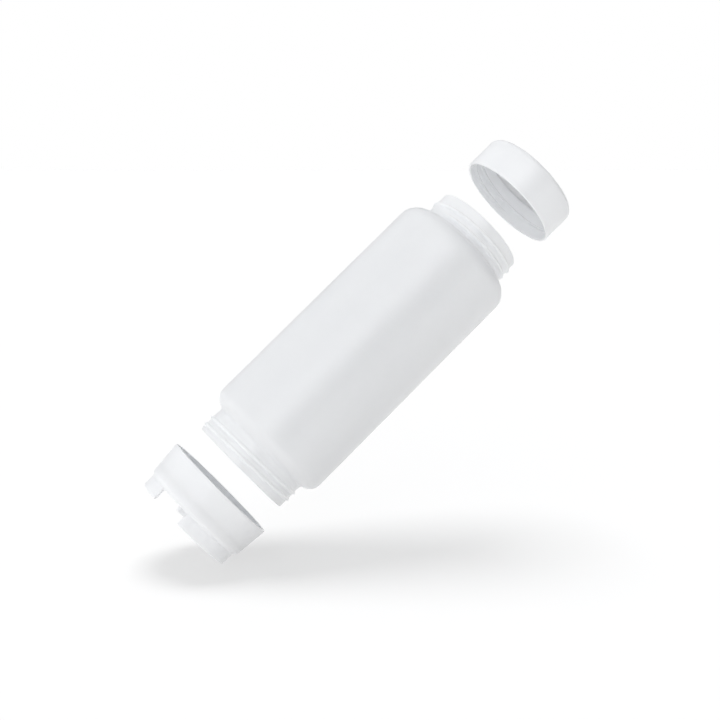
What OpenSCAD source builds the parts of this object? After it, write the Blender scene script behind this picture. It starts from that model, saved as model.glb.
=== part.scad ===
// Two-ended squeeze bottle for sauces. It is filled through the wide cap at the top and emptied
// through a slit valve in the cap that it stands on. It is drawn opened up: both caps are
// unscrewed and drawn apart along the bottle's axis.
// Z runs along the axis, and the dispensing cap stands on the plane z = 0.

/* [Body] */
// Outside diameter of the body
body_d = 75; // [74:0.5:78]
// Height of the straight side
side_h = 139.2; // [100:0.2:160]
// Thickness of the blown wall
wall = 1.5; // [1.2:0.1:1.8]
// Radius of the round from the side into the dispensing shoulder
low_round = 8; // [7:0.5:8]
// Radius of the round from the side into the refill shoulder
high_round = 10; // [9:0.5:10]
// Radius of the hollow where a shoulder meets its neck
neck_fillet = 1.9; // [1:0.1:2]

/* [Necks] */
// Outside diameter of the dispensing neck between its threads
low_neck_d = 60.6; // [60:0.2:61]
// Height of the dispensing neck
low_neck_h = 14.2; // [14:0.1:15]
// Outside diameter of the refill neck between its threads
high_neck_d = 54.7; // [54:0.1:55]
// Height of the refill neck
high_neck_h = 13.3; // [13:0.1:14]
// Thickness of a neck's wall
neck_wall = 1.8; // [1.5:0.1:2]

/* [Threads] */
// Advance of a thread in one turn
pitch = 4.7; // [4.5:0.1:5]
// Height of a thread above its wall
thread_h = 1; // [0.8:0.05:1]
// Radial play between a neck's thread and its cap's wall
play = 0.4; // [0.3:0.05:0.4]

/* [Dispensing cap] */
// Height of the cap
base_h = 28.1; // [27:0.1:29]
// Diameter at the open rim
base_rim_d = 68; // [67:0.1:69]
// Diameter of the foot ring
foot_d = 61.2; // [60.5:0.1:61.5]
// Height of the three drain notches in the foot ring
notch_h = 7.5; // [5:0.5:7.5]
// Width of a drain notch
notch_w = 19.6; // [12:0.2:22]
// Height of the underside of the deck that carries the valve and the gasket
deck_z = 11.6; // [11:0.1:12]
// Thickness of the deck
deck_t = 2; // [1.6:0.1:2]

/* [Valve] */
// Side of the square that the four petals fill
slit_square = 9; // [7:0.5:10]
// Thickness of the slit membrane
petal_t = 0.8; // [0.6:0.1:1]
// Width of a slit
slit = 0.16; // [0.1:0.02:0.3]
// Widest angle to which a petal bends open
petal_bend = 50; // [30:5:60]

/* [Refill cap] */
// Height of the cap
lid_h = 20.5; // [20:0.1:22]
// Outside diameter of the cap
lid_d = 60.6; // [60.2:0.1:62]
// Radius of the cap's top corner
lid_round = 3.3; // [2:0.1:3.5]
// Depth of the sunken panel in the top
panel_depth = 2.6; // [1.5:0.1:3]
// Thickness of the top plate
plate_t = 2.2; // [1.8:0.1:2.5]
// Thickness of the liner
liner_t = 1.1; // [0.8:0.1:1.5]

/* [Opened up] */
// Gap between the dispensing cap's rim and the neck above it
low_gap = 15.1; // [5:0.1:30]
// Gap between the refill neck's rim and the cap above it
high_gap = 23; // [5:0.1:40]

/* [Hidden] */
$fn = 96;

// Radii and heights of the bottle
body_r = body_d / 2;
low_neck_r = low_neck_d / 2;
high_neck_r = high_neck_d / 2;
low_rim_z = base_h + low_gap;
side_z = low_rim_z + low_neck_h + neck_fillet + low_round;
side_top_z = side_z + side_h;
high_neck_z = side_top_z + high_round + neck_fillet;
high_rim_z = high_neck_z + high_neck_h;
rim_chamfer = 0.5;

// Threads: the section's half widths, how deep it is rooted, and how it runs out at its ends
ridge_base = 1.25;
ridge_crest = 0.4;
ridge_root = 0.6;
ridge_sink = 0.2;
run_out = 25;
steps_per_turn = 48;
front = -90;
low_thread_z = low_rim_z + 4.8;
high_thread_z = high_neck_z + 1.9;

// Dispensing cap
base_rim_r = base_rim_d / 2;
base_bore_r = low_neck_r + thread_h + play;
skirt_r = 32.3;
skirt_z = 10.5;
skirt_round = 3;
foot_r = foot_d / 2;
foot_wall = 2.4;
foot_round = 0.8;
first_notch = 6;
notch_round = 1.5;
deck_top_z = deck_z + deck_t;
collar_r = 16.3;
collar_t = 1.4;
collar_h = 3.4;
gasket_t = 1.5;
gasket_w = 3.6;
fit_gap = 0.05;

// Valve
valve_hole_r = 9;
sleeve_r = 8.9;
sleeve_wall = 1.5;
membrane_z = 9.7;
flange_r = 15;
flange_t = 1.6;
retainer_t = 1.7;
retainer_bore_r = 9.6;

// Refill cap
lid_r = lid_d / 2;
lid_bore_r = high_neck_r + thread_h + play;
lid_rim_z = high_rim_z + high_gap;
lid_top_z = lid_rim_z + lid_h;
ceiling_z = lid_top_z - panel_depth - plate_t;
panel_r = 25;
lid_edge = 0.6;

// A ring about the axis with a rectangular section
module ring(r_in, r_out, z, h) {
    rotate_extrude()
        translate([r_in, z])
            square([r_out - r_in, h]);
}

// A thread. Its ridge stands on a wall of radius r and reaches h beyond it, or inward when h is
// negative. It climbs by the pitch in each turn, crosses the front at z_front, starts at the angle
// from, and sinks back into the wall at both ends.
module thread(r, h, z_front, from, turns) {
    way = sign(h);
    steps = ceil(turns * steps_per_turn);
    span = turns * 360;
    points = [
        for (i = [0:steps])
            let (
                at = span * i / steps,
                angle = from + at,
                z = z_front + pitch * (angle - front) / 360,
                rise = min(1, at / run_out, (span - at) / run_out),
                foot = r - way * ridge_root,
                top = r - way * ridge_sink + (h + way * ridge_sink) * rise,
                section = [
                    [foot, -ridge_base],
                    [top, -ridge_crest],
                    [top, ridge_crest],
                    [foot, ridge_base]
                ]
            )
            for (p = section)
                [p[0] * cos(angle), p[0] * sin(angle), z + way * p[1]]
    ];
    sides = [
        for (i = [0:steps - 1], k = [0:3])
            let (a = 4 * i + k, b = 4 * i + (k + 1) % 4)
            for (face = [[a, b + 4, a + 4], [a, b, b + 4]])
                face
    ];
    ends = [[3, 2, 1, 0], [for (k = [0:3]) 4 * steps + k]];
    polyhedron(points = points, faces = concat(sides, ends), convexity = 8);
}

// One end of the bottle as if solid, in section from its axis: the round of the shoulder, the
// hollow round below the neck, and the neck. It stands on the end of the straight side.
module end_outline(round_r, neck_r, neck_h) {
    neck_z = round_r + neck_fillet;
    rim_z = neck_z + neck_h;
    square([body_r - round_r, round_r]);
    translate([body_r - round_r, 0])
        circle(r = round_r);
    polygon([
        [0, 0],
        [neck_r, 0],
        [neck_r, rim_z - rim_chamfer],
        [neck_r - rim_chamfer, rim_z],
        [0, rim_z]
    ]);
    difference() {
        translate([0, round_r - 0.5])
            square([neck_r + neck_fillet, neck_fillet + 0.5]);
        translate([neck_r + neck_fillet, neck_z])
            circle(r = neck_fillet);
    }
}

// The space inside the same end
module end_hollow(round_r, neck_r, neck_h) {
    rim_z = round_r + neck_fillet + neck_h;
    mouth_r = neck_r - neck_wall;
    square([body_r - round_r, round_r - wall]);
    translate([body_r - round_r, 0])
        circle(r = round_r - wall);
    polygon([
        [0, 0],
        [mouth_r, 0],
        [mouth_r, rim_z - rim_chamfer],
        [mouth_r + 2 * rim_chamfer, rim_z + rim_chamfer],
        [0, rim_z + rim_chamfer]
    ]);
}

module bottle_body() {
    color([0.93, 0.94, 0.95]) {
        rotate_extrude()
            difference() {
                union() {
                    translate([0, side_z])
                        square([body_r, side_h]);
                    translate([0, side_top_z])
                        end_outline(high_round, high_neck_r, high_neck_h);
                    translate([0, side_z])
                        mirror([0, 1, 0])
                            end_outline(low_round, low_neck_r, low_neck_h);
                }
                translate([0, side_z])
                    square([body_r - wall, side_h]);
                translate([0, side_top_z])
                    end_hollow(high_round, high_neck_r, high_neck_h);
                translate([0, side_z])
                    mirror([0, 1, 0])
                        end_hollow(low_round, low_neck_r, low_neck_h);
            }
        thread(low_neck_r, thread_h, low_thread_z, front - 120, 1.8);
        thread(high_neck_r, thread_h, high_thread_z, front - 50, 1.75);
    }
}

module refill_cap() {
    color([0.95, 0.96, 0.96]) {
        rotate_extrude()
            difference() {
                union() {
                    polygon([
                        [0, lid_rim_z],
                        [lid_r - lid_edge, lid_rim_z],
                        [lid_r, lid_rim_z + lid_edge],
                        [lid_r, lid_top_z - lid_round],
                        [0, lid_top_z - lid_round]
                    ]);
                    translate([0, lid_top_z - lid_round])
                        square([lid_r - lid_round, lid_round]);
                    translate([lid_r - lid_round, lid_top_z - lid_round])
                        circle(r = lid_round);
                }
                translate([0, lid_top_z - panel_depth])
                    square([panel_r, panel_depth + 1]);
                translate([0, lid_rim_z - 1])
                    square([lid_bore_r, ceiling_z - lid_rim_z + 1]);
            }
        thread(lid_bore_r, -thread_h, high_thread_z + 8.5 * pitch, front - 195, 1.85);
    }
}

module refill_cap_liner() {
    color([0.88, 0.9, 0.91])
        translate([0, 0, ceiling_z - fit_gap - liner_t])
            cylinder(r = lid_bore_r - play, h = liner_t);
}

// The tool that cuts one drain notch, through the wall that faces +X
module notch() {
    translate([foot_r - foot_wall - 4, 0, 0])
        rotate([90, 0, 90])
            linear_extrude(foot_wall + 8) {
                translate([-notch_w / 2, -1])
                    square([notch_w, notch_h - notch_round + 1]);
                translate([notch_round - notch_w / 2, 0])
                    square([notch_w - 2 * notch_round, notch_h]);
                for (side = [-1, 1])
                    translate([side * (notch_w / 2 - notch_round), notch_h - notch_round])
                        circle(r = notch_round);
            }
}

module dispensing_cap() {
    color([0.94, 0.95, 0.96]) {
        difference() {
            rotate_extrude()
                difference() {
                    union() {
                        polygon([
                            [0, skirt_z],
                            [skirt_r, skirt_z],
                            [base_rim_r, base_h - rim_chamfer],
                            [base_rim_r - rim_chamfer, base_h],
                            [0, base_h]
                        ]);
                        translate([skirt_r - skirt_round, skirt_z])
                            circle(r = skirt_round);
                        polygon([
                            [0, 0],
                            [foot_r - foot_round, 0],
                            [foot_r, foot_round],
                            [foot_r, skirt_z],
                            [0, skirt_z]
                        ]);
                    }
                    translate([0, deck_top_z])
                        square([base_bore_r, base_h]);
                    translate([0, -1])
                        square([foot_r - foot_wall, deck_z + 1]);
                    square([valve_hole_r, base_h]);
                }
            for (turn = [0:2])
                rotate([0, 0, first_notch + 120 * turn])
                    notch();
        }
        ring(collar_r, collar_r + collar_t, deck_top_z - 0.5, collar_h + 0.5);
        thread(base_bore_r, -thread_h, low_thread_z - 6.5 * pitch, front + 35, 1.6);
    }
}

module neck_gasket() {
    color([0.85, 0.86, 0.87])
        ring(base_bore_r - play - gasket_w, base_bore_r - play, deck_top_z + fit_gap, gasket_t);
}

module valve_body() {
    color([0.9, 0.92, 0.93])
        difference() {
            union() {
                translate([0, 0, deck_top_z + fit_gap])
                    cylinder(r = flange_r, h = flange_t);
                translate([0, 0, membrane_z])
                    cylinder(r = sleeve_r, h = deck_top_z - membrane_z + 0.5);
            }
            translate([0, 0, membrane_z + petal_t])
                cylinder(r = sleeve_r - sleeve_wall, h = deck_top_z);
            translate([-slit_square / 2, -slit_square / 2, membrane_z - 1])
                cube([slit_square, slit_square, petal_t + 2]);
        }
}

module valve_retainer() {
    color([0.94, 0.95, 0.96])
        ring(retainer_bore_r, collar_r - fit_gap, deck_top_z + flange_t + 2 * fit_gap, retainer_t);
}

// One petal of the valve, a triangle from the middle of the square to the side that faces the
// angle turn. It bends about the upper edge of that side, so the edge is bevelled away below it.
module petal(turn) {
    reach = slit_square / 2 - slit / 2;
    gap = slit / sqrt(2);
    hinge_z = membrane_z + petal_t;
    color([0.88, 0.9, 0.91])
        rotate([0, 0, turn])
            difference() {
                translate([0, 0, membrane_z])
                    linear_extrude(petal_t)
                        polygon([[gap, 0], [reach, reach - gap], [reach, gap - reach]]);
                translate([reach, -slit_square, hinge_z])
                    rotate([0, petal_bend, 0])
                        translate([0, 0, -slit_square])
                            cube([slit_square, 2 * slit_square, slit_square]);
            }
}

bottle_body();
refill_cap();
refill_cap_liner();
dispensing_cap();
neck_gasket();
valve_body();
valve_retainer();
petal(0);  // valve_petal_1
petal(90);  // valve_petal_2
petal(180);  // valve_petal_3
petal(270);  // valve_petal_4
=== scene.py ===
import math

import bpy
import numpy as np
from mathutils import Matrix, Vector


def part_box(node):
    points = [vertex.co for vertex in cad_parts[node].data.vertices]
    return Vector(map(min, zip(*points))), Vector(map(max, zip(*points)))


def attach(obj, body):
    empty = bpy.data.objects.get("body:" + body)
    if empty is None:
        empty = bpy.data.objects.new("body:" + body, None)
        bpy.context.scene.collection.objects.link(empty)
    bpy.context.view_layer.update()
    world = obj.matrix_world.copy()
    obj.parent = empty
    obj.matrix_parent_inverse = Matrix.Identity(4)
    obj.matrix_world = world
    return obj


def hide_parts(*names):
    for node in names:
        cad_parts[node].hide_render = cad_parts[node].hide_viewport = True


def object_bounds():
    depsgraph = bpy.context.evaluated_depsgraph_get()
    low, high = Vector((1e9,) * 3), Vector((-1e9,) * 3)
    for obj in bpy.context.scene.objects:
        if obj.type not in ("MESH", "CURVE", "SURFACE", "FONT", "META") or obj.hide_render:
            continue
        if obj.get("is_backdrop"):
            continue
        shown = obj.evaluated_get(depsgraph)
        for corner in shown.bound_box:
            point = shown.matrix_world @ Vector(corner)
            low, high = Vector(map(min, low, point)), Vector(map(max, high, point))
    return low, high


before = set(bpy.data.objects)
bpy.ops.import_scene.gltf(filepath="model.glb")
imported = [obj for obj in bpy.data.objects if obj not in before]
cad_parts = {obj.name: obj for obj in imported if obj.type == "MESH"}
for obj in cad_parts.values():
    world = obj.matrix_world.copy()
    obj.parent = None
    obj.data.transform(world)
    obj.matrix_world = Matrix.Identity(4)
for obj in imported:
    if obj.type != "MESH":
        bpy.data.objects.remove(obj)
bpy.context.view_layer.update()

# ---- Camera ---------------------------------------------------------------------------------
# A 60 mm lens, level with the shoulder over the dispensing neck, looks up the bottle a little, and
# is rolled so that the bottle leans with its refill end to the upper right.
AXIS_DISTANCE = 0.668
EYE_HEIGHT = 0.058
PITCH = math.radians(6.3)
YAW = math.radians(0.38)
ROLL = math.radians(45.1)
LENS_MM = 60.4
SENSOR_MM = 36.0

eye = Vector((0, -AXIS_DISTANCE, EYE_HEIGHT))
look = Vector((
    math.sin(YAW) * math.cos(PITCH),
    math.cos(YAW) * math.cos(PITCH),
    math.sin(PITCH),
))
upright = (Vector((0, 0, 1)) - look * look.z).normalized()
level = look.cross(upright)
up = upright * math.cos(ROLL) - level * math.sin(ROLL)
right = look.cross(up)
camera_data = bpy.data.cameras.new("camera")
camera_data.lens = LENS_MM
camera_data.sensor_width = SENSOR_MM
camera_data.clip_start = 0.01
camera_data.clip_end = 20
camera = bpy.data.objects.new("camera", camera_data)
axes = Matrix((right, up, -look)).transposed().to_4x4()
camera.matrix_world = Matrix.Translation(eye) @ axes
scene = bpy.context.scene
scene.collection.objects.link(camera)
scene.camera = camera

# ---- Studio ---------------------------------------------------------------------------------
# A softbox and the black flag beside it draw one clear edge of light down the bottle, and fills
# from both ends soften the rest. A broad lamp overhead casts the shadow on a paper floor, which
# lies just under the dispensing cap's lowest edge and is clear from below, so it hides nothing.
AMBIENT = 0.815
SOFTBOX = 1.15
SOFTBOX_EDGE = math.radians(-3)
SOFTBOX_EDGE_WIDTH = 0.06
SOFTBOX_MIDDLE = math.radians(-16)
FLAG_DROP = 0.8
FLAG_MIDDLE = math.radians(14)
PANEL_RISE = 0.1
PANEL_POWER = 8
UNDER_FILL = 1.3
UPPER_FILL = 0.284
SHADE_DROP = 0.8
SHADE_RISE = 0.2
BACK_DROP = 0.4
FILL_POWER = 2
DROP_POWER = 3
LIGHT_COLOUR = (0.975, 0.985, 1.0, 1)
WHITE = (1, 1, 1, 1)
BOUNCES = 12
LAMP_STRENGTH = 3.4
LAMP_SPREAD = 30
FLOOR_SIZE = 4.0
FLOOR_TILT = math.radians(12)
FLOOR_DROP = 0.0002
FOOT_RING_R = 0.0302
PAPER_COLOUR = (0.22, 0.22, 0.22, 1)
PAPER_ROUGHNESS = 0.9
PAPER_GLOW = 0.517
PAPER_GLOW_SEEN = 0.58

scene.view_settings.view_transform = "Standard"
scene.view_settings.look = "None"
scene.cycles.diffuse_bounces = BOUNCES

studio = bpy.data.worlds.new("studio")
studio.use_nodes = True
nodes, links = studio.node_tree.nodes, studio.node_tree.links
nodes.clear()
direction = nodes.new("ShaderNodeTexCoord").outputs["Generated"]


def cosine(toward):
    """The cosine of the angle between a ray and toward."""
    dot = nodes.new("ShaderNodeVectorMath")
    dot.operation = "DOT_PRODUCT"
    links.new(direction, dot.inputs[0])
    dot.inputs[1].default_value = toward.normalized()
    return dot.outputs["Value"]


def lobe(toward, power):
    """A soft spot of light round toward: that cosine, or 0 behind, raised to a power."""
    front = nodes.new("ShaderNodeMath")
    front.operation = "MAXIMUM"
    links.new(cosine(toward), front.inputs[0])
    front.inputs[1].default_value = 0
    raised = nodes.new("ShaderNodeMath")
    raised.operation = "POWER"
    links.new(front.outputs[0], raised.inputs[0])
    raised.inputs[1].default_value = power
    return raised.outputs[0]


def add_scaled(value, scale, base):
    """value times scale plus base, where base is a number or a socket."""
    node = nodes.new("ShaderNodeMath")
    node.operation = "MULTIPLY_ADD"
    links.new(value, node.inputs[0])
    node.inputs[1].default_value = scale
    if isinstance(base, float):
        node.inputs[2].default_value = base
    else:
        links.new(base, node.inputs[2])
    return node.outputs[0]


edge = nodes.new("ShaderNodeMapRange")
edge.interpolation_type = "SMOOTHSTEP"
edge.inputs["From Max"].default_value = SOFTBOX_EDGE_WIDTH
edge_side = Vector((-math.cos(SOFTBOX_EDGE), -math.sin(SOFTBOX_EDGE), 0))
links.new(cosine(edge_side), edge.inputs["Value"])
softbox_side = edge.outputs["Result"]
flag_side = add_scaled(softbox_side, -1, 1.0)
strength = AMBIENT
for side, middle, gain in (
    (softbox_side, SOFTBOX_MIDDLE, SOFTBOX),
    (flag_side, FLAG_MIDDLE, -FLAG_DROP),
):
    panel = nodes.new("ShaderNodeMath")
    panel.operation = "MULTIPLY"
    links.new(side, panel.inputs[0])
    toward = Vector((math.sin(middle), -math.cos(middle), PANEL_RISE))
    links.new(lobe(toward, PANEL_POWER), panel.inputs[1])
    strength = add_scaled(panel.outputs[0], gain, strength)
for toward, power, gain in (
    (Vector((0, 0, -1)), FILL_POWER, UNDER_FILL),
    (Vector((0, 0, 1)), FILL_POWER, UPPER_FILL),
    (right + up * SHADE_RISE, DROP_POWER, -SHADE_DROP),
    (look, DROP_POWER, -BACK_DROP),
):
    strength = add_scaled(lobe(toward, power), gain, strength)
soft_light = nodes.new("ShaderNodeBackground")
soft_light.inputs["Color"].default_value = LIGHT_COLOUR
links.new(strength, soft_light.inputs["Strength"])
backdrop = nodes.new("ShaderNodeBackground")
backdrop.inputs["Color"].default_value = WHITE
pick = nodes.new("ShaderNodeMixShader")
links.new(nodes.new("ShaderNodeLightPath").outputs["Is Camera Ray"], pick.inputs[0])
links.new(soft_light.outputs[0], pick.inputs[1])
links.new(backdrop.outputs[0], pick.inputs[2])
links.new(pick.outputs[0], nodes.new("ShaderNodeOutputWorld").inputs["Surface"])
scene.world = studio

lamp_data = bpy.data.lights.new("overhead_softbox", "SUN")
lamp_data.energy = LAMP_STRENGTH
lamp_data.angle = math.radians(LAMP_SPREAD)
lamp = bpy.data.objects.new("overhead_softbox", lamp_data)
lamp.rotation_mode = "QUATERNION"
lamp.rotation_quaternion = up.to_track_quat("Z", "Y")
scene.collection.objects.link(lamp)

floor_up = (up * math.cos(FLOOR_TILT) - look * math.sin(FLOOR_TILT)).normalized()
floor_right = floor_up.cross(-look).normalized()
floor_front = floor_up.cross(floor_right)
lowest_point = -FOOT_RING_R * math.hypot(floor_up.x, floor_up.y)
floor_at = floor_up * (lowest_point - FLOOR_DROP)
corners = [
    floor_at + (floor_right * x + floor_front * y) * FLOOR_SIZE
    for x, y in ((-1, -1), (1, -1), (1, 1), (-1, 1))
]
floor_mesh = bpy.data.meshes.new("floor")
floor_mesh.from_pydata([tuple(c) for c in corners], [], [(0, 1, 2, 3)])
floor_mesh.update()
floor = bpy.data.objects.new("floor", floor_mesh)
scene.collection.objects.link(floor)
paper = bpy.data.materials.new("floor_paper")
paper.use_nodes = True
nodes, links = paper.node_tree.nodes, paper.node_tree.links
shader = nodes["Principled BSDF"]
shader.inputs["Base Color"].default_value = PAPER_COLOUR
shader.inputs["Roughness"].default_value = PAPER_ROUGHNESS
shader.inputs["Specular IOR Level"].default_value = 0.0
shader.inputs["Emission Color"].default_value = WHITE
seen = nodes.new("ShaderNodeMapRange")
seen.inputs["To Min"].default_value = PAPER_GLOW
seen.inputs["To Max"].default_value = PAPER_GLOW_SEEN
links.new(nodes.new("ShaderNodeLightPath").outputs["Is Camera Ray"], seen.inputs["Value"])
links.new(seen.outputs["Result"], shader.inputs["Emission Strength"])
clear = nodes.new("ShaderNodeBsdfTransparent")
pick = nodes.new("ShaderNodeMixShader")
links.new(nodes.new("ShaderNodeNewGeometry").outputs["Backfacing"], pick.inputs[0])
links.new(shader.outputs[0], pick.inputs[1])
links.new(clear.outputs[0], pick.inputs[2])
links.new(pick.outputs[0], nodes["Material Output"].inputs["Surface"])
floor_mesh.materials.append(paper)
floor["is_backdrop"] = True
lit_by_lamp = bpy.data.collections.new("lit_by_overhead_softbox")
lit_by_lamp.objects.link(floor)
lamp.light_linking.receiver_collection = lit_by_lamp

# ---- Bottle ---------------------------------------------------------------------------------
# The bottle is blown in one piece from low-density polyethylene, milky and soft enough to
# squeeze. Both ends are open necks whose threads are moulded into the wall, and a fine seam runs
# up both sides where the halves of the mould met.
MM = 0.001
BODY_R = 37.5
WALL = 1.5
NECK_WALL = 1.8
LOW_NECK_R = 30.3
LOW_NECK_H = 14.2
LOW_ROUND = 8.0
HIGH_NECK_R = 27.35
HIGH_NECK_H = 13.3
HIGH_ROUND = 10.0
NECK_HOLLOW = 1.9
RIM_ROUND = 0.5
PITCH_MM = 4.7
THREAD_H = 1.0
THREAD_HALF = 1.25
CAP_THREAD_HALF = 0.98
THREAD_RUN_OUT = 25.0
THREAD_FLANK = 0.85
LOW_THREAD_Z = 4.8
LOW_THREAD_START = -210
LOW_THREAD_TURNS = 1.8
HIGH_THREAD_Z = 1.9
HIGH_THREAD_START = -140
HIGH_THREAD_TURNS = 1.75
SEAM_AT = 20.0
SEAM_H = 0.07
SEAM_HALF_WIDTH = 0.3
COLUMNS = 192
COARSE = 3.0
FINE = 0.24
ARC_STEP = 11
SHARP_ANGLE = math.radians(50)
SAME = 0.01


def rounded_path(corners, fine=(), closed=True):
    """A line through corners given as (radius, height, round), in mm. Each corner becomes an arc of
    its round, tangent to both sides, found by sliding the radius at even angles from one tangent
    point to the other. Straight runs are cut into equal pieces, short ones in the runs in fine."""
    corners = np.array(corners, float)
    count = len(corners)
    arcs = []
    for i in range(count):
        corner, turn = corners[i, :2], corners[i, 2]
        if turn == 0:
            arcs.append(corner[None])
            continue
        back = corners[i - 1, :2] - corner
        on = corners[(i + 1) % count, :2] - corner
        back, on = back / np.hypot(*back), on / np.hypot(*on)
        half = np.arccos(np.clip(back @ on, -1, 1)) / 2
        middle = (back + on) / np.hypot(*(back + on))
        centre = corner + middle * turn / np.sin(half)
        start = corner + back * turn / np.tan(half) - centre
        stop = corner + on * turn / np.tan(half) - centre
        sweep = np.pi - 2 * half
        along = np.linspace(0, sweep, 3 + int(np.degrees(sweep) / ARC_STEP))[:, None]
        arcs.append(centre + (np.sin(sweep - along) * start + np.sin(along) * stop) / np.sin(sweep))
    line = []
    for i in range(count):
        line.append(arcs[i])
        if i == count - 1 and not closed:
            break
        first, last = arcs[i][-1], arcs[(i + 1) % count][0]
        pieces = math.ceil(np.hypot(*(last - first)) / (FINE if i in fine else COARSE))
        share = np.linspace(0, 1, pieces + 1)[1:-1, None]
        line.append(first + (last - first) * share)
    return np.concatenate(line)


def solid(name, points, faces):
    """A closed mesh of points in metres, as a piece at the origin that is smooth but for its sharp
    edges. Where its triangles enclose a negative volume they face inwards, and are turned over."""
    mesh = bpy.data.meshes.new(name)
    mesh.from_pydata(points, [], faces)
    mesh.update()
    mesh.calc_loop_triangles()
    tris = np.empty(len(mesh.loop_triangles) * 3, int)
    mesh.loop_triangles.foreach_get("vertices", tris)
    a, b, c = points[tris.reshape(-1, 3)].transpose(1, 0, 2)
    if np.einsum("ij,ij->", a, np.cross(b, c)) < 0:
        mesh.flip_normals()
    mesh.shade_smooth()
    mesh.set_sharp_from_angle(angle=SHARP_ANGLE)
    piece = bpy.data.objects.new(name, mesh)
    scene.collection.objects.link(piece)
    return piece


def skin(name, grid, closed=True):
    """A solid on a grid of points, rows by columns, in mm. Columns close into a ring. Rows close
    into a ring as well, or else the first and last rows are single points on the axis."""
    rows, columns = grid.shape[:2]
    index = np.arange(rows * columns).reshape(rows, columns)
    aside = np.roll(index, -1, axis=1)
    points = grid.reshape(-1, 3) * MM
    if closed:
        above, far = np.roll(index, -1, axis=0), np.roll(aside, -1, axis=0)
        faces = np.stack([index, aside, far, above], -1).reshape(-1, 4).tolist()
    else:
        body = np.stack([index[1:-2], aside[1:-2], aside[2:-1], index[2:-1]], -1)
        foot, head = index[0, 0], index[-1, -1]
        low = np.stack([aside[1] * 0 + foot, aside[1], index[1]], -1)
        high = np.stack([index[-2] * 0 + head, index[-2], aside[-2]], -1)
        used = np.zeros(rows * columns, bool)
        used[index[1:-1].ravel()] = True
        used[[foot, head]] = True
        new = np.cumsum(used) - 1
        points = points[used]
        faces = new[body.reshape(-1, 4)].tolist() + new[low].tolist() + new[high].tolist()
    return solid(name, points, faces)


def turned(path, angles, lift=None):
    """Carries a path round the axis: x is (r + lift) cos a, y is (r + lift) sin a and the height
    stays, where lift(r, z, a) raises the surface away from the axis."""
    r, z, turn = path[:, :1], path[:, 1:], np.radians(angles)[None]
    reach = r + (lift(r, z, angles[None]) if lift else 0) + 0 * turn
    return np.stack([reach * np.cos(turn), reach * np.sin(turn), z + 0 * turn], -1)


def thread(z, angle, z_front, start, turns, half=THREAD_HALF):
    """How high a right-hand thread stands at a point of a wall, from 0 to 1. Its ridge climbs by
    the pitch in each turn and crosses the front, at -90 degrees, at z_front. Across the ridge the
    height is a smooth step over its half width, and it fades out at both ends."""
    height = np.zeros(np.broadcast(z, angle).shape)
    for turn in range(-2, 4):
        climbed = angle + 360 * turn
        centre = z_front + PITCH_MM * (climbed + 90) / 360
        step = np.clip((half - np.abs(z - centre)) / (THREAD_FLANK * half), 0, 1)
        into = np.minimum(climbed - start, start + 360 * turns - climbed)
        fade = np.clip(into / THREAD_RUN_OUT, 0, 1)
        height = np.maximum(height, step * step * (3 - 2 * step) * fade)
    return height


def shoulder(neck_r, turn, side_z, way):
    """The two corners between a neck and the side, in order from the neck. The hollow round at the
    neck and the round at the side touch, so the corners lie on their common tangent, square to the
    line between their centres. way is 1 for the upper shoulder and -1 for the lower."""
    reach = turn + NECK_HOLLOW
    across = neck_r + NECK_HOLLOW - (BODY_R - turn)
    along = math.sqrt(reach * reach - across * across)
    touch_r = BODY_R - turn + turn * across / reach
    touch_z = side_z + way * turn * along / reach
    slope = way * across / along
    return [
        (neck_r, touch_z - slope * (neck_r - touch_r), NECK_HOLLOW),
        (BODY_R, touch_z - slope * (BODY_R - touch_r), turn),
    ]


low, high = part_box("bottle_body")
low_rim, high_rim = low.z / MM, high.z / MM
low_side = low_rim + LOW_NECK_H + NECK_HOLLOW + LOW_ROUND
high_side = high_rim - HIGH_NECK_H - NECK_HOLLOW - HIGH_ROUND
low_thread = (low_rim + LOW_THREAD_Z, LOW_THREAD_START, LOW_THREAD_TURNS)
high_thread_z = high_rim - HIGH_NECK_H + HIGH_THREAD_Z
high_thread = (high_thread_z, HIGH_THREAD_START, HIGH_THREAD_TURNS)


def bottle_lift(r, z, angle):
    """Both threads stand on the outside of their necks, and the seam is a low bell-shaped ridge on
    every outer face, highest where the angle is SEAM_AT or opposite to it."""
    low_wall = (np.abs(r - LOW_NECK_R) < SAME) & (z < low_side)
    high_wall = (np.abs(r - HIGH_NECK_R) < SAME) & (z > high_side)
    threads = low_wall * thread(z, angle, *low_thread) + high_wall * thread(z, angle, *high_thread)
    off = (angle - SEAM_AT + 90) % 180 - 90
    bell = np.exp(-((np.radians(off) * r / SEAM_HALF_WIDTH) ** 2))
    outside_r = np.interp(
        z, [low_rim, low_side - LOW_ROUND, low_side, high_side, high_side + HIGH_ROUND, high_rim],
        [LOW_NECK_R, LOW_NECK_R, BODY_R, BODY_R, HIGH_NECK_R, HIGH_NECK_R],
    )
    inside = outside_r - r > 1.0
    return THREAD_H * threads + SEAM_H * bell * ~inside * (1 - threads)


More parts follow.
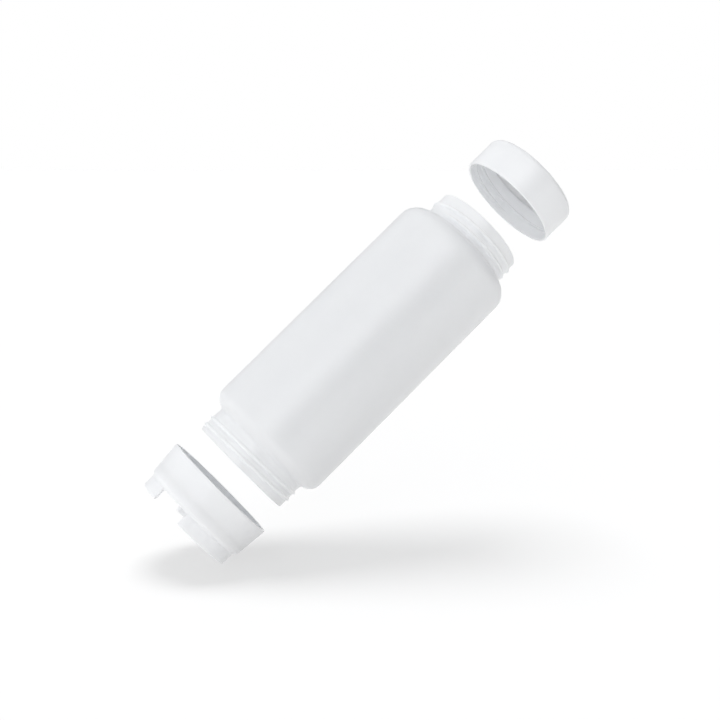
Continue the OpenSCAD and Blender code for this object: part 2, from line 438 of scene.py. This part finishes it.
bottle_path = rounded_path([
    (LOW_NECK_R, low_rim, RIM_ROUND),
    *shoulder(LOW_NECK_R, LOW_ROUND, low_side, -1),
    *reversed(shoulder(HIGH_NECK_R, HIGH_ROUND, high_side, 1)),
    (HIGH_NECK_R, high_rim, RIM_ROUND),
    (HIGH_NECK_R - NECK_WALL, high_rim, RIM_ROUND),
    (HIGH_NECK_R - NECK_WALL, high_side + HIGH_ROUND - WALL, 1.2),
    (BODY_R - WALL, high_side + HIGH_ROUND - WALL, HIGH_ROUND - WALL),
    (BODY_R - WALL, low_side - LOW_ROUND + WALL, LOW_ROUND - WALL),
    (LOW_NECK_R - NECK_WALL, low_side - LOW_ROUND + WALL, 0.9),
    (LOW_NECK_R - NECK_WALL, low_rim, RIM_ROUND),
], fine=(0, 4))
around = np.arange(COLUMNS) * 360 / COLUMNS
near_seam = SEAM_AT + np.array([-0.9, -0.6, -0.3, 0, 0.3, 0.6, 0.9])
bottle_angles = np.unique(np.concatenate([around, near_seam, near_seam + 180]))
bottle = skin("bottle", turned(bottle_path, bottle_angles, bottle_lift))


def socket(group, way, kind, name):
    """Adds a named socket to a node group, way being INPUT or OUTPUT."""
    group.interface.new_socket(name, in_out=way, socket_type="NodeSocket" + kind)


def noise(tree, place, size, detail):
    """A noise texture whose blotches are about size metres across."""
    node = tree.nodes.new("ShaderNodeTexNoise")
    node.inputs["Scale"].default_value = 1 / size
    node.inputs["Detail"].default_value = detail
    tree.links.new(place, node.inputs["Vector"])
    return node.outputs["Fac"]


def spread(tree, value, low, high):
    """Stretches the part of a value between low and high over 0 to 1, smoothly."""
    node = tree.nodes.new("ShaderNodeMapRange")
    node.interpolation_type = "SMOOTHSTEP"
    node.inputs["From Min"].default_value = low
    node.inputs["From Max"].default_value = high
    tree.links.new(value, node.inputs["Value"])
    return node.outputs["Result"]


def join(tree, kind, one, other):
    """One value and another through a Math node. Either may be a number."""
    node = tree.nodes.new("ShaderNodeMath")
    node.operation = kind
    for i, value in enumerate((one, other)):
        if isinstance(value, (int, float)):
            node.inputs[i].default_value = value
        else:
            tree.links.new(value, node.inputs[i])
    return node.outputs[0]


# Moulded skin: the fine matt grain of the mould, and slow clouds where the wall is thicker.
GRAIN_SIZE = 0.0007
CLOUD_SIZE = 0.03
moulded_skin = bpy.data.node_groups.new("moulded_skin", "ShaderNodeTree")
socket(moulded_skin, "INPUT", "Vector", "Place")
socket(moulded_skin, "OUTPUT", "Float", "Grain")
socket(moulded_skin, "OUTPUT", "Float", "Clouds")
group_in = moulded_skin.nodes.new("NodeGroupInput")
group_out = moulded_skin.nodes.new("NodeGroupOutput")
place = group_in.outputs["Place"]
moulded_skin.links.new(noise(moulded_skin, place, GRAIN_SIZE, 2), group_out.inputs["Grain"])
clouds = spread(moulded_skin, noise(moulded_skin, place, CLOUD_SIZE, 2), 0.3, 0.7)
moulded_skin.links.new(clouds, group_out.inputs["Clouds"])

# Handling marks: hair scratches that run in two directions, in patches where the piece is rubbed.
SCRATCH_SIZE = 0.0009
PATCH_SIZE = 0.02
MARK_COLOUR = (0.97, 0.97, 0.97, 1)
MARK_TINT = 0.5
MARK_ROUGHNESS = 0.18
MARK_DEPTH = 0.6
CLOUD_ROUGHNESS = 0.06
handling_marks = bpy.data.node_groups.new("handling_marks", "ShaderNodeTree")
socket(handling_marks, "INPUT", "Vector", "Place")
socket(handling_marks, "OUTPUT", "Float", "Marks")
group_in = handling_marks.nodes.new("NodeGroupInput")
group_out = handling_marks.nodes.new("NodeGroupOutput")
lines = []
for turn, stretch in (((0.3, 0.5, 0.2), (1.0, 1.0, 0.035)), ((1.1, 0.2, 0.9), (0.04, 1.0, 1.0))):
    lay = handling_marks.nodes.new("ShaderNodeMapping")
    lay.inputs["Rotation"].default_value = turn
    lay.inputs["Scale"].default_value = stretch
    handling_marks.links.new(group_in.outputs["Place"], lay.inputs["Vector"])
    fibres = noise(handling_marks, lay.outputs[0], SCRATCH_SIZE, 1)
    lines.append(spread(handling_marks, fibres, 0.67, 0.74))
both = join(handling_marks, "MAXIMUM", *lines)
rubbed = noise(handling_marks, group_in.outputs["Place"], PATCH_SIZE, 3)
patches = spread(handling_marks, rubbed, 0.5, 0.68)
marks = join(handling_marks, "MULTIPLY", both, patches)
handling_marks.links.new(marks, group_out.inputs["Marks"])


def moulded(name, tones, roughness, grain_depth, milk):
    """A moulded plastic or rubber. Its colour drifts between two tones with the clouds, the marks
    are paler and rougher, and the grain stands grain_depth metres high. milk is how far light
    travels inside, in metres, and how much of the look it makes."""
    material = bpy.data.materials.new(name)
    material.use_nodes = True
    tree = material.node_tree
    shader = tree.nodes["Principled BSDF"]
    place = tree.nodes.new("ShaderNodeTexCoord").outputs["Object"]
    skin_node = tree.nodes.new("ShaderNodeGroup")
    skin_node.node_tree = moulded_skin
    marks_node = tree.nodes.new("ShaderNodeGroup")
    marks_node.node_tree = handling_marks
    for node in (skin_node, marks_node):
        tree.links.new(place, node.inputs["Place"])
    marks = marks_node.outputs["Marks"]
    tint = tree.nodes.new("ShaderNodeMix")
    tint.data_type = "RGBA"
    tree.links.new(skin_node.outputs["Clouds"], tint.inputs["Factor"])
    for side, tone in zip("AB", tones):
        tint.inputs[side].default_value = (*tone, 1)
    worn = tree.nodes.new("ShaderNodeMix")
    worn.data_type = "RGBA"
    worn.inputs["B"].default_value = MARK_COLOUR
    tree.links.new(join(tree, "MULTIPLY", marks, MARK_TINT), worn.inputs["Factor"])
    tree.links.new(tint.outputs["Result"], worn.inputs["A"])
    tree.links.new(worn.outputs["Result"], shader.inputs["Base Color"])
    rough = join(tree, "MULTIPLY", skin_node.outputs["Clouds"], CLOUD_ROUGHNESS)
    rough = join(tree, "ADD", rough, roughness)
    rough = join(tree, "ADD", rough, join(tree, "MULTIPLY", marks, MARK_ROUGHNESS))
    tree.links.new(rough, shader.inputs["Roughness"])
    cut = join(tree, "MULTIPLY", marks, MARK_DEPTH)
    relief = join(tree, "SUBTRACT", skin_node.outputs["Grain"], cut)
    bump = tree.nodes.new("ShaderNodeBump")
    bump.inputs["Distance"].default_value = grain_depth
    tree.links.new(relief, bump.inputs["Height"])
    tree.links.new(bump.outputs["Normal"], shader.inputs["Normal"])
    depth, weight = milk
    shader.inputs["Subsurface Weight"].default_value = weight
    shader.inputs["Subsurface Scale"].default_value = depth
    shader.inputs["Subsurface Radius"].default_value = (1.0, 1.0, 1.0)
    shader.inputs["IOR"].default_value = 1.5
    shader.inputs["Specular IOR Level"].default_value = 0.9
    return material


def finish(piece, material, body, node):
    """Gives a piece its material, hangs it on the empty of the body it rides on, and hides the CAD
    part it is drawn in place of.
    """
    piece.data.materials.append(material)
    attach(piece, body)
    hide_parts(node)


bottle_plastic = moulded(
    "bottle_polyethylene", [(0.912, 0.927, 0.948), (0.942, 0.958, 0.973)], 0.3, 0.00004, (0.004, 0.8)
)
finish(bottle, bottle_plastic, "bottle", "bottle_body")

# ---- Refill cap -----------------------------------------------------------------------------
# The wide cap at the refill end is injection-moulded in natural white polypropylene. It is plain
# outside, has a sunken top with the mark of the gate at its middle, and its thread is inside.
LID_R = 30.3
LID_BORE_R = 28.75
LID_ROUND = 3.3
PANEL_R = 25.0
PANEL_DEPTH = 2.6
PLATE = 2.2
GATE_R = 1.6
GATE_H = 0.25
LID_THREAD_PITCHES = 8.5
LID_THREAD_START = -285
LID_THREAD_TURNS = 1.85

low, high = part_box("refill_cap")
lid_rim, lid_top = low.z / MM, high.z / MM
ceiling = lid_top - PANEL_DEPTH - PLATE
lid_path = rounded_path([
    (0, lid_top - PANEL_DEPTH + GATE_H, 0),
    (GATE_R, lid_top - PANEL_DEPTH + GATE_H, 0.1),
    (GATE_R, lid_top - PANEL_DEPTH, 0.08),
    (PANEL_R, lid_top - PANEL_DEPTH, 0.5),
    (PANEL_R, lid_top, 0.6),
    (LID_R, lid_top, LID_ROUND),
    (LID_R, lid_rim, 0.5),
    (LID_BORE_R, lid_rim, 0.5),
    (LID_BORE_R, ceiling, 0.4),
    (0, ceiling, 0),
], fine=(7,), closed=False)


def lid_lift(r, z, angle):
    """The thread stands inward on the wall of the bore, half a pitch off the neck's own helix, so
    that the two run between each other when the cap is screwed down."""
    wall = (np.abs(r - LID_BORE_R) < SAME) & (z < ceiling)
    front = high_thread_z + LID_THREAD_PITCHES * PITCH_MM
    ridge = thread(z, angle, front, LID_THREAD_START, LID_THREAD_TURNS, CAP_THREAD_HALF)
    return -THREAD_H * wall * ridge


refill_cap = skin("refill_cap_shell", turned(lid_path, around, lid_lift), closed=False)
cap_plastic = moulded(
    "cap_polypropylene", [(0.877, 0.882, 0.891), (0.906, 0.911, 0.919)], 0.3, 0.00003, (0.002, 0.9)
)
finish(refill_cap, cap_plastic, "refill_cap", "refill_cap")

# ---- Refill cap liner -----------------------------------------------------------------------
# A disc of white closed-cell foam is pressed up against the ceiling of the refill cap and seals
# on the rim of the neck, which leaves a shallow ring in it.
LINER_R = 28.35
DENT_R = 26.45
DENT_HALF = 0.9
DENT_DEPTH = 0.12

low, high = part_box("refill_cap_liner")
liner_low, liner_high = low.z / MM, high.z / MM
liner_path = rounded_path([
    (0, liner_high, 0),
    (LINER_R, liner_high, 0.25),
    (LINER_R, liner_low, 0.25),
    (DENT_R + DENT_HALF, liner_low, 0.3),
    (DENT_R + DENT_HALF - 0.3, liner_low + DENT_DEPTH, 0.3),
    (DENT_R - DENT_HALF + 0.3, liner_low + DENT_DEPTH, 0.3),
    (DENT_R - DENT_HALF, liner_low, 0.3),
    (0, liner_low, 0),
], closed=False)
liner = skin("liner_disc", turned(liner_path, around), closed=False)
liner_foam = moulded(
    "liner_foam", [(0.955, 0.958, 0.963), (0.975, 0.977, 0.98)], 0.72, 0.00012, (0.004, 0.8)
)
finish(liner, liner_foam, "refill_cap_liner", "refill_cap_liner")

# ---- Dispensing cap -------------------------------------------------------------------------
# The cap that the bottle stands on is injection-moulded in the same polypropylene. A deck inside
# carries the valve and the gasket, and three notches in the foot ring let sauce drain away.
BASE_RIM_R = 34.0
BASE_BORE_R = 31.7
SKIRT_R = 32.3
SKIRT_Z = 10.5
SKIRT_ROUND = 3.0
FOOT_R = 30.6
FOOT_INNER_R = 28.2
DECK_Z = 11.6
DECK_TOP = 13.6
COLLAR_R = 16.3
COLLAR_OUTER_R = 17.7
COLLAR_TOP = 17.0
VALVE_HOLE_R = 9.0
NOTCH_HALF = 9.8
NOTCH_H = 7.5
NOTCH_CORNER = 1.5
FOOT_CORNER = 0.8
FIRST_NOTCH = 6.0
NOTCH_EDGE = 0.35
FOOT_EDGE = 0.7
BLEND = 0.03
BASE_THREAD_PITCHES = -6.5
BASE_THREAD_START = -55
BASE_THREAD_TURNS = 1.6

low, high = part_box("dispensing_cap")
base_rim = high.z / MM
base_upper = rounded_path([
    (FOOT_INNER_R, DECK_Z, 0),
    (VALVE_HOLE_R, DECK_Z, 0.3),
    (VALVE_HOLE_R, DECK_TOP, 0.3),
    (COLLAR_R, DECK_TOP, 0.3),
    (COLLAR_R, COLLAR_TOP, 0.35),
    (COLLAR_OUTER_R, COLLAR_TOP, 0.35),
    (COLLAR_OUTER_R, DECK_TOP, 0.5),
    (BASE_BORE_R, DECK_TOP, 0.5),
    (BASE_BORE_R, base_rim, 0.4),
    (BASE_RIM_R, base_rim, 0.5),
    (SKIRT_R, SKIRT_Z, 0),
], fine=(7,), closed=False)


def base_lift(r, z, angle):
    """The thread stands inward on the wall of the bore, half a pitch off the neck's own helix."""
    wall = (np.abs(r - BASE_BORE_R) < SAME) & (z > DECK_TOP)
    front = low_thread[0] + BASE_THREAD_PITCHES * PITCH_MM
    ridge = thread(z, angle, front, BASE_THREAD_START, BASE_THREAD_TURNS, CAP_THREAD_HALF)
    return -THREAD_H * wall * ridge


def foot_outline():
    """The lower edge of the foot ring from the middle of a notch to the middle of the next leg, as
    side steps y and heights z in mm, with the direction from the edge into the plastic. It runs
    along the top of the notch, round its corner, down its side, and round onto the ground. The last
    column gives how far along the leg a point is, from 0 at the notch to 1 at the middle."""
    corner = np.radians(np.linspace(90, 0, 8))
    toe = np.radians(np.linspace(0, 90, 6))
    side = np.linspace(NOTCH_H - NOTCH_CORNER, FOOT_CORNER, 9)[1:]
    leg = np.linspace(0, 1, 15)[1:]
    flat = np.linspace(0, NOTCH_HALF - NOTCH_CORNER, 9)[:-1]
    none, one = np.zeros_like, np.ones_like
    parts = [
        (flat, none(flat) + NOTCH_H, none(flat), one(flat), none(flat)),
        (NOTCH_HALF + NOTCH_CORNER * (np.cos(corner) - 1),
         NOTCH_H + NOTCH_CORNER * (np.sin(corner) - 1), np.cos(corner), np.sin(corner),
         none(corner)),
        (none(side) + NOTCH_HALF, side, one(side), none(side), none(side)),
        (NOTCH_HALF + FOOT_CORNER * (1 - np.cos(toe[1:])),
         FOOT_CORNER * (1 - np.sin(toe[1:])), np.cos(toe[1:]), np.sin(toe[1:]), none(toe[1:])),
        (none(leg) + NOTCH_HALF + FOOT_CORNER, none(leg), none(leg), one(leg), leg),
    ]
    return np.array([np.concatenate(column) for column in zip(*parts)])


def foot_rows():
    """Rows of (radius, height, angle) down the outside of the foot ring, round its lower edge and
    up the inside, for half of one third of the ring. Between the skirt and the edge each row is a
    blend of the two by its share. Round an edge of radius q the surface stands q (1 - sin t) inside
    the outline and q (1 - cos t) inside the wall. Side faces of a notch are parallel, so an angle
    near one is the arc sine of y over the radius, and it fades to an even turn along the leg."""
    y, z, into_y, into_z, leg = foot_outline()
    toe_y = NOTCH_HALF + FOOT_CORNER
    arc = np.radians(60) * FOOT_R - FOOT_R * np.arcsin(toe_y / FOOT_R)
    steps = np.hypot(np.diff(y), np.diff(z)) + arc * np.diff(leg)
    top_angle = 60 * np.concatenate([[0], np.cumsum(steps)]) / steps.sum()
    fade = (1 - leg) ** 2 * (1 + 2 * leg)
    toe_angle = np.degrees(np.arcsin(toe_y / FOOT_R))

    def wall_r(height):
        """The round under the skirt or the foot ring, whichever is wider, as a soft maximum."""
        ball = np.sqrt(np.clip(SKIRT_ROUND ** 2 - (SKIRT_Z - height) ** 2, 0, None))
        ball = SKIRT_R - SKIRT_ROUND + ball
        return (ball + FOOT_R + np.sqrt((ball - FOOT_R) ** 2 + BLEND)) / 2

    def angle_at(radius, inset):
        """The angle of each point of the outline, drawn into the plastic by inset."""
        notch = np.degrees(np.arcsin((y + inset * into_y) / radius))
        even = toe_angle + (60 - toe_angle) * leg
        shift = np.degrees(np.arcsin(toe_y / radius)) - toe_angle
        return np.where(leg > 0, even + fade * shift, notch)

    def row(radius, inset):
        """The outline, drawn into the plastic by inset, at a radius."""
        return np.stack([radius, z + inset * into_z, angle_at(radius, inset)])

    outer_edge = NOTCH_EDGE + (FOOT_EDGE - NOTCH_EDGE) * np.clip(leg * 8, 0, 1)
    rows = []
    edge_top = row(wall_r(z + outer_edge * into_z), outer_edge)
    for share in np.linspace(0, 1, 23)[1:-1]:
        height = SKIRT_Z + (edge_top[1] - SKIRT_Z) * share
        angle = top_angle + (edge_top[2] - top_angle) * share
        rows.append(np.stack([wall_r(height), height, angle]))
    for t in np.radians([0, 22.5, 45, 67.5, 90]):
        inset = outer_edge * (1 - np.sin(t))
        rows.append(row(wall_r(z + inset * into_z) - outer_edge * (1 - np.cos(t)), inset))
    first, last = rows[-1][0], FOOT_INNER_R + NOTCH_EDGE
    for share in (0.33, 0.67):
        rows.append(row(first + (last - first) * share, 0))
    for t in np.radians([90, 67.5, 45, 22.5, 0]):
        rows.append(row(FOOT_INNER_R + NOTCH_EDGE * (1 - np.cos(t)) + 0 * y,
                        NOTCH_EDGE * (1 - np.sin(t))))
    edge_top = rows[-1]
    for share in np.linspace(0, 1, 9)[1:-1]:
        rows.append(np.stack([
            FOOT_INNER_R + 0 * y,
            edge_top[1] + (DECK_Z - edge_top[1]) * share,
            edge_top[2] + (top_angle - edge_top[2]) * share,
        ]))
    return np.stack(rows), top_angle


def ring(half):
    """Radii or heights for half a third of the ring, mirrored and repeated for the whole ring."""
    third = np.concatenate([half[..., :0:-1], half[..., :-1]], -1)
    return np.concatenate([third] * 3, -1)


def ring_angles(half):
    """The angles that go with ring: less than 0 on the mirrored side, and a third of a turn on for
    each third, from the first notch."""
    third = np.concatenate([-half[..., :0:-1], half[..., :-1]], -1)
    return np.concatenate([third, third + 120, third + 240], -1) + FIRST_NOTCH


half_rows, half_top = foot_rows()
foot_r, foot_z = ring(half_rows[:, 0]), ring(half_rows[:, 1])
foot_turn = np.radians(ring_angles(half_rows[:, 2]))
foot_grid = np.stack([foot_r * np.cos(foot_turn), foot_r * np.sin(foot_turn), foot_z], -1)
base_grid = np.concatenate([turned(base_upper, ring_angles(half_top), base_lift), foot_grid])
dispensing_cap = skin("dispensing_cap_shell", base_grid)
finish(dispensing_cap, cap_plastic, "dispensing_cap", "dispensing_cap")

# ---- Neck gasket ----------------------------------------------------------------------------
# A flat ring of silicone lies loose on the deck, round the edge, and seals against the rim of the
# bottle's wider neck.
GASKET_WIDTH = 3.6

low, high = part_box("neck_gasket")
gasket_low, gasket_high, gasket_r = low.z / MM, high.z / MM, high.x / MM
gasket = skin("gasket_ring", turned(rounded_path([
    (gasket_r, gasket_low, 0.4),
    (gasket_r, gasket_high, 0.4),
    (gasket_r - GASKET_WIDTH, gasket_high, 0.4),
    (gasket_r - GASKET_WIDTH, gasket_low, 0.4),
]), around))
silicone = moulded(
    "frosted_silicone", [(0.84, 0.86, 0.875), (0.88, 0.895, 0.905)], 0.42, 0.00002, (0.005, 0.85)
)
finish(gasket, silicone, "neck_gasket", "neck_gasket")

# ---- Valve ----------------------------------------------------------------------------------
# The valve is one moulding of silicone: a flange that lies on the deck, a sleeve that hangs
# through its hole, and a thin floor that is cut crosswise into four petals, which bend open when
# the bottle is squeezed and close by themselves.
FLANGE_R = 15.0
SLEEVE_R = 8.9
SLEEVE_INNER_R = 7.4
SQUARE_HALF = 4.5
SLIT = 0.16
PETAL_T = 0.8
PETAL_BEND = math.radians(50)
PETAL_DISH = 0.08
TIP_HALF_WIDTH = 0.06
FLANGE_PLAY = 0.05
FLOOR_ROUND = 0.4

low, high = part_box("valve_body")
valve_low, valve_high, flange_low = low.z / MM, high.z / MM, DECK_TOP + FLANGE_PLAY
valve_path = rounded_path([
    (SQUARE_HALF, valve_low, 0),
    (SLEEVE_R, valve_low, 0.4),
    (SLEEVE_R, flange_low, 0.2),
    (FLANGE_R, flange_low, 0.4),
    (FLANGE_R, valve_high, 0.5),
    (SLEEVE_INNER_R, valve_high, 0.9),
    (SLEEVE_INNER_R, valve_low + PETAL_T, 0.5),
    (SQUARE_HALF, valve_low + PETAL_T, 0),
])


def square_lift(r, z, angle):
    """Draws the edge of the floor's opening out from a circle to a square, and the rows between it
    and the sleeve with it, by less the nearer they are to the sleeve."""
    turn = np.radians(angle)
    square = SQUARE_HALF / np.maximum(np.abs(np.cos(turn)), np.abs(np.sin(turn)))
    still_r = SLEEVE_INNER_R - FLOOR_ROUND
    near = np.clip((still_r - r) / (still_r - SQUARE_HALF), 0, 1)
    return (square - SQUARE_HALF) * near


valve = skin("valve_moulding", turned(valve_path, around, square_lift))
finish(valve, silicone, "dispensing_cap", "valve_body")


def petal(name, turn):
    """One petal, turned about the axis. Across it x runs from the hinge to the tip by a share v,
    and half the width is x less the slit. The underside is drawn back at the hinge by the bevel
    that lets the petal swing open, and the top is dished a little. The two faces are joined round
    their edges."""
    gap = SLIT / math.sqrt(2)
    reach = SQUARE_HALF - SLIT / 2
    bevel = reach - PETAL_T * math.tan(PETAL_BEND)
    tip = gap + TIP_HALF_WIDTH
    across = np.linspace(-1, 1, 17)[None, :]
    v = np.linspace(0, 1, 10)[:, None]

    def face(hinge_x, z, dish):
        """A face from its hinge to the tip, at a height less its dish."""
        x = hinge_x + (tip - hinge_x) * v
        sag = dish * 4 * v * (1 - v) * (1 - across ** 2)
        return np.stack([x + 0 * across, across * (x - gap), z - sag + 0 * x], -1)

    spin = math.radians(turn)
    swing = np.array([
        [math.cos(spin), -math.sin(spin), 0],
        [math.sin(spin), math.cos(spin), 0],
        [0, 0, 1],
    ])
    upper, lower = face(reach, valve_low + PETAL_T, PETAL_DISH), face(bevel, valve_low, 0)
    points = (np.concatenate([upper, lower]) @ swing.T).reshape(-1, 3) * MM
    rows, columns = upper.shape[:2]
    count = rows * columns
    index = np.arange(count).reshape(rows, columns)
    quads = np.stack([index[:-1, :-1], index[:-1, 1:], index[1:, 1:], index[1:, :-1]], -1)
    quads = quads.reshape(-1, 4)
    rim = np.concatenate([index[0, :-1], index[:-1, -1], index[-1, :0:-1], index[:0:-1, 0]])
    on = np.roll(rim, -1)
    walls = np.stack([rim + count, on + count, on, rim], -1)
    return solid(name, points, np.concatenate([quads, quads[:, ::-1] + count, walls]).tolist())


for number in range(1, 5):
    body = "valve_petal_%d" % number
    flap = petal("petal_%d" % number, 90 * (number - 1))
    finish(flap, silicone, body, body)

# ---- Valve retainer -------------------------------------------------------------------------
# A polypropylene ring is pressed into the collar on top of the valve's flange and holds it down.
# A shallow groove round its top takes the tool that presses it in.
RETAINER_BORE_R = 9.6
GROOVE_INNER_R = 11.6
GROOVE_OUTER_R = 14.2
GROOVE_DEPTH = 0.5
GROOVE_SLOPE = 0.2

low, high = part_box("valve_retainer")
retainer_low, retainer_high, retainer_r = low.z / MM, high.z / MM, high.x / MM
retainer = skin("retainer_ring", turned(rounded_path([
    (retainer_r, retainer_low, 0.3),
    (retainer_r, retainer_high, 0.35),
    (GROOVE_OUTER_R, retainer_high, 0.15),
    (GROOVE_OUTER_R - GROOVE_SLOPE, retainer_high - GROOVE_DEPTH, 0.15),
    (GROOVE_INNER_R + GROOVE_SLOPE, retainer_high - GROOVE_DEPTH, 0.15),
    (GROOVE_INNER_R, retainer_high, 0.15),
    (RETAINER_BORE_R, retainer_high, 0.4),
    (RETAINER_BORE_R, retainer_low, 0.3),
]), around))
finish(retainer, cap_plastic, "dispensing_cap", "valve_retainer")

low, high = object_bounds()
